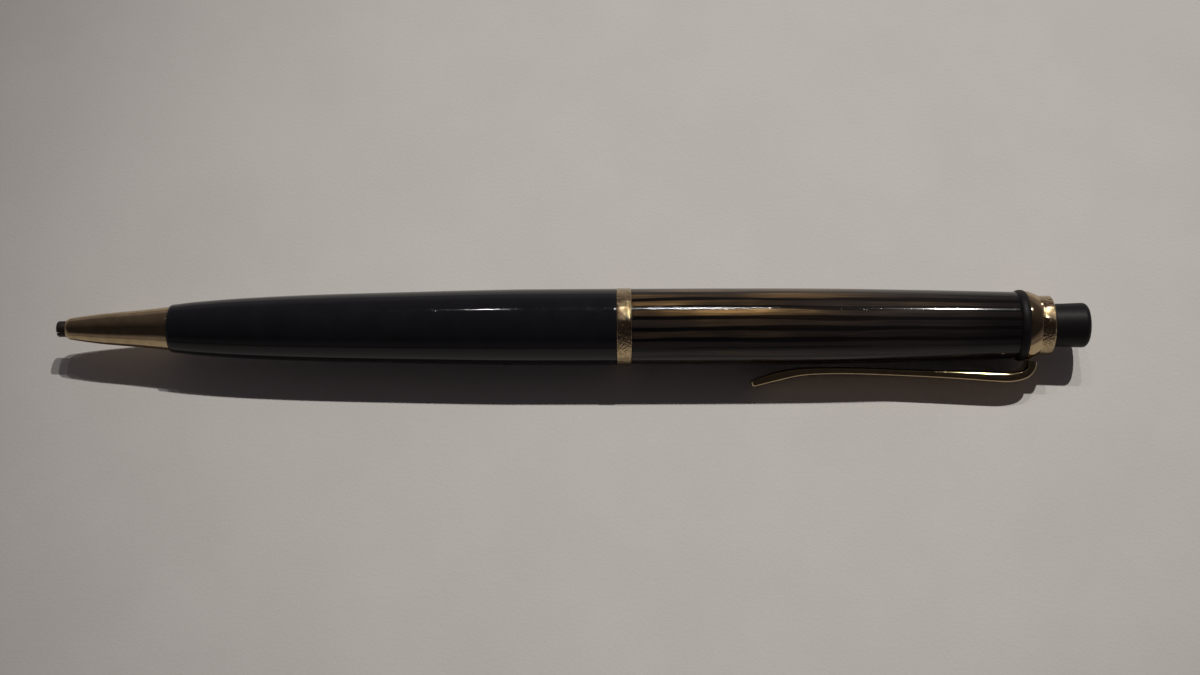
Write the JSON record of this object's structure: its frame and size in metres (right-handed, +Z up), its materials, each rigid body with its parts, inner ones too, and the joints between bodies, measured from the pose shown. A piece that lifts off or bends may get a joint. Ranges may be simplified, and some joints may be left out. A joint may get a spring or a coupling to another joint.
{
  "type": "rollerball pen",
  "caption": "Slim push-button rollerball pen with a gilt nose cone, ringed black front barrel, striped resin upper barrel, spring clip and black button.",
  "frame": {"origin": "middle of the underside of the pen's box, with the pen lying on its side", "axes": "+X along the pen from the writing end to the button, +Z up from the surface it lies on; the clip points to -Y and slightly down"},
  "size_m": [0.138, 0.0128, 0.0104],
  "materials": {
    "gilt_metal": "polished gilt plating with fine scratches",
    "black_resin": "polished black resin",
    "striped_resin": "polished resin with brown and black lengthwise stripes",
    "dark_tip": "dark satin",
    "inner_brass": "machined",
    "inner_plastic": "moulded",
    "refill_plastic": "moulded satin",
    "steel": "drawn steel",
    "carbide": "ground ball"
  },
  "bodies": {
    "upper_section": {"upper_barrel": "striped_resin", "threaded_sleeve": "inner_brass", "mechanism_tube": "inner_brass", "cam_guide": "inner_plastic", "crown_bush": "inner_brass", "barrel_end_ring": "black_resin", "clip_ring": "gilt_metal", "crown_ring": "gilt_metal"},
    "band": {"centre_band": "gilt_metal"},
    "front_section": {"tip_bushing": "dark_tip", "nose_cone": "gilt_metal", "front_barrel": "black_resin", "threaded_coupler": "inner_brass", "return_spring": "steel"},
    "button": {"push_button": "black_resin", "button_stem": "inner_plastic", "thrust_crown": "inner_plastic"},
    "refill": {"writing_ball": "carbide", "refill_needle": "steel", "refill_neck": "refill_plastic", "refill_tube": "refill_plastic", "refill_end_plug": "refill_plastic"},
    "rotor": {"cam_rotor": "inner_plastic"},
    "clip": {"clip_arm": "gilt_metal"}
  },
  "joints": [
    {"name": "button_press", "type": "slide", "parent": "upper_section", "child": "button", "axis": [-1, 0, 0], "range_m": [0, 0.0044], "stiffness_N_per_m": 350, "springref_m": -0.006},
    {"name": "refill_slide", "type": "slide", "parent": "upper_section", "child": "refill", "axis": [-1, 0, 0], "range_m": [0, 0.0044], "deforming": ["return_spring"]},
    {"name": "rotor_turn", "type": "hinge", "parent": "refill", "child": "rotor", "pos_m": [0.034, 0.00124, 0.00519], "axis": [1, 0, 0], "range_deg": [0, 11.3]},
    {"name": "front_draw", "type": "slide", "parent": "upper_section", "child": "band", "axis": [-1, 0, 0], "range_m": [0, 0.00402]},
    {"name": "front_turn", "type": "hinge", "parent": "band", "child": "front_section", "pos_m": [0.0069, 0.00124, 0.00519], "axis": [-1, 0, 0], "range_deg": [0, 1800]},
    {"name": "clip_flex", "type": "hinge", "parent": "upper_section", "child": "clip", "pos_m": [0.0614, -0.00293, 0.00307], "axis": [0, -0.454, 0.891], "range_deg": [0, 4], "stiffness_Nm_per_rad": 1.5, "springref_deg": -1.72}
  ],
  "couplings": [
    {"joint": "refill_slide", "follows": "button_press", "ratio": 1},
    {"joint": "rotor_turn", "follows": "button_press", "rad_per_m": 44.62},
    {"joint": "front_draw", "follows": "front_turn", "m_per_rad": 0.00012732}
  ]
}
